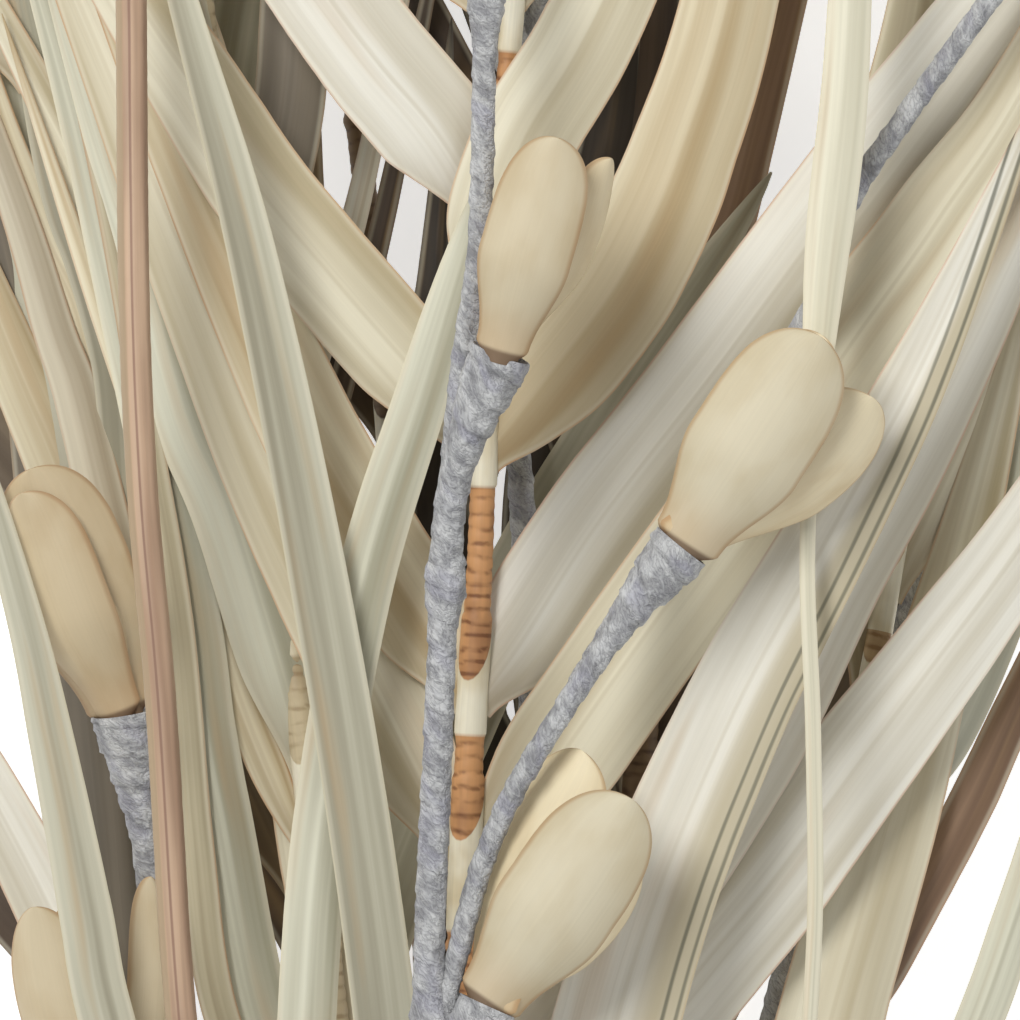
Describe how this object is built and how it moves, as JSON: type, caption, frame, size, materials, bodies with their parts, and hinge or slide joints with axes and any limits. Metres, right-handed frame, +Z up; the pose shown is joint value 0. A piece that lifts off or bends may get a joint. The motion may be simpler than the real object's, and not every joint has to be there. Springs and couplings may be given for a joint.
{
  "type": "bunch of dried leafy stems and pod twigs",
  "caption": "Bunch of dried pale leafy stems with cream spoon-petalled pods on paper-wrapped twigs, tied with twine and laid on a table.",
  "frame": {"origin": "on the table, under the middle of the whole bunch's box", "axes": "+Y along the stems towards the tips, +X across the bunch, +Z up from the table"},
  "size_m": [0.3156, 0.8274, 0.1321],
  "materials": {
    "pale_leaf": "dry matt leaf with fine lengthwise veins and tan edges",
    "brown_leaf": "dry matt brown and olive leaf",
    "reed": "dry grooved reed, pink-brown with a cream stripe",
    "wrapped_paper": "matt grey crinkled paper tape wound round wire",
    "pod_petal": "smooth dry cream petal, tan where it is older",
    "twine": "twisted jute twine"
  },
  "bodies": {
    "root": {"leafy_stem_middle": "pale_leaf", "leafy_stem_front": "pale_leaf", "leafy_stem_left_inner": "pale_leaf", "leafy_stem_left_outer": "pale_leaf", "leafy_stem_right_outer": "pale_leaf", "leafy_stem_under_left": "brown_leaf", "leafy_stem_under_right": "brown_leaf", "leafy_stem_low_left": "brown_leaf", "leafy_stem_low_right": "brown_leaf", "reed": "reed", "pod_twig_front": "wrapped_paper", "pod_twig_left": "wrapped_paper", "pod_twig_back": "wrapped_paper", "pod_twig_right": "wrapped_paper", "pod_front_1": "pod_petal", "pod_front_2": "pod_petal", "pod_front_3": "pod_petal", "pod_front_4": "pod_petal", "pod_front_5": "pod_petal", "pod_front_6": "pod_petal", "pod_left_1": "pod_petal", "pod_left_2": "pod_petal", "pod_back_1": "pod_petal", "pod_back_2": "pod_petal", "pod_right_1": "pod_petal", "tie": "twine"}
  },
  "joints": []
}
